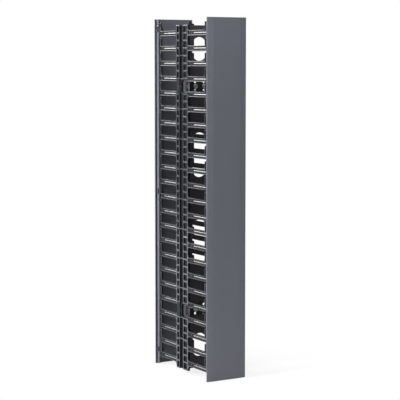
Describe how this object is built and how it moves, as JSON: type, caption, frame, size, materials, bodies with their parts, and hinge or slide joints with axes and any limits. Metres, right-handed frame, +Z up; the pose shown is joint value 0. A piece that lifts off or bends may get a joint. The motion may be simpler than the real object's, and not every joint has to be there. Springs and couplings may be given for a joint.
{
  "type": "vertical cable manager",
  "caption": "Tall rack-side cable manager: finger combs on both sides of a pierced steel spine, with a grey sheet steel cover front and rear that opens left or right.",
  "frame": {"origin": "on the plane of the covers' bottom edges, under the middle of the part", "axes": "+Z up along the spine, -Y towards the front cover, +X to the right seen from the front"},
  "size_m": [0.133, 0.308, 1.0539],
  "materials": {
    "grey_paint": "smooth satin grey paint",
    "comb_plastic": "moulded black plastic, half gloss",
    "black_steel": "black powder coat",
    "clip_plastic": "matt black plastic",
    "zinc_steel": "zinc plated steel",
    "rod_steel": "black zinc plated steel"
  },
  "bodies": {
    "frame": {"front_spine_channel": "black_steel", "rear_spine_channel": "black_steel", "channel_rivets": "black_steel", "upper_rack_bracket": "black_steel", "lower_rack_bracket": "black_steel", "bracket_bolts": "zinc_steel", "bracket_nuts": "zinc_steel", "left_comb_top": "comb_plastic", "left_comb_upper": "comb_plastic", "left_comb_middle": "comb_plastic", "left_comb_lower": "comb_plastic", "left_comb_bottom": "comb_plastic", "right_comb_top": "comb_plastic", "right_comb_upper": "comb_plastic", "right_comb_middle": "comb_plastic", "right_comb_lower": "comb_plastic", "right_comb_bottom": "comb_plastic", "left_comb_screws": "zinc_steel", "right_comb_screws": "zinc_steel", "comb_boss_screws": "zinc_steel", "front_left_hinge_clips": "clip_plastic", "front_right_hinge_clips": "clip_plastic", "rear_left_hinge_clips": "clip_plastic", "rear_right_hinge_clips": "clip_plastic"},
    "front_right_rod": {"front_right_hinge_rod": "rod_steel", "front_right_rod_caps": "clip_plastic"},
    "front_door": {"front_cover": "grey_paint", "front_hinge_ears": "grey_paint", "front_left_hinge_rod": "rod_steel", "front_left_rod_caps": "clip_plastic"},
    "rear_right_rod": {"rear_right_hinge_rod": "rod_steel", "rear_right_rod_caps": "clip_plastic"},
    "rear_door": {"rear_cover": "grey_paint", "rear_hinge_ears": "grey_paint", "rear_left_hinge_rod": "rod_steel", "rear_left_rod_caps": "clip_plastic"}
  },
  "joints": [
    {"name": "front_left_hinge", "type": "hinge", "parent": "frame", "child": "front_right_rod", "pos_m": [-0.0535, -0.143, 0.52695], "axis": [0, 0, 1], "range_deg": [-95, 0]},
    {"name": "front_right_hinge", "type": "hinge", "parent": "front_right_rod", "child": "front_door", "pos_m": [0.0535, -0.143, 0.52695], "axis": [0, 0, 1], "range_deg": [0, 95]},
    {"name": "rear_left_hinge", "type": "hinge", "parent": "frame", "child": "rear_right_rod", "pos_m": [-0.0535, 0.143, 0.52695], "axis": [0, 0, 1], "range_deg": [0, 95]},
    {"name": "rear_right_hinge", "type": "hinge", "parent": "rear_right_rod", "child": "rear_door", "pos_m": [0.0535, 0.143, 0.52695], "axis": [0, 0, 1], "range_deg": [-95, 0]}
  ]
}
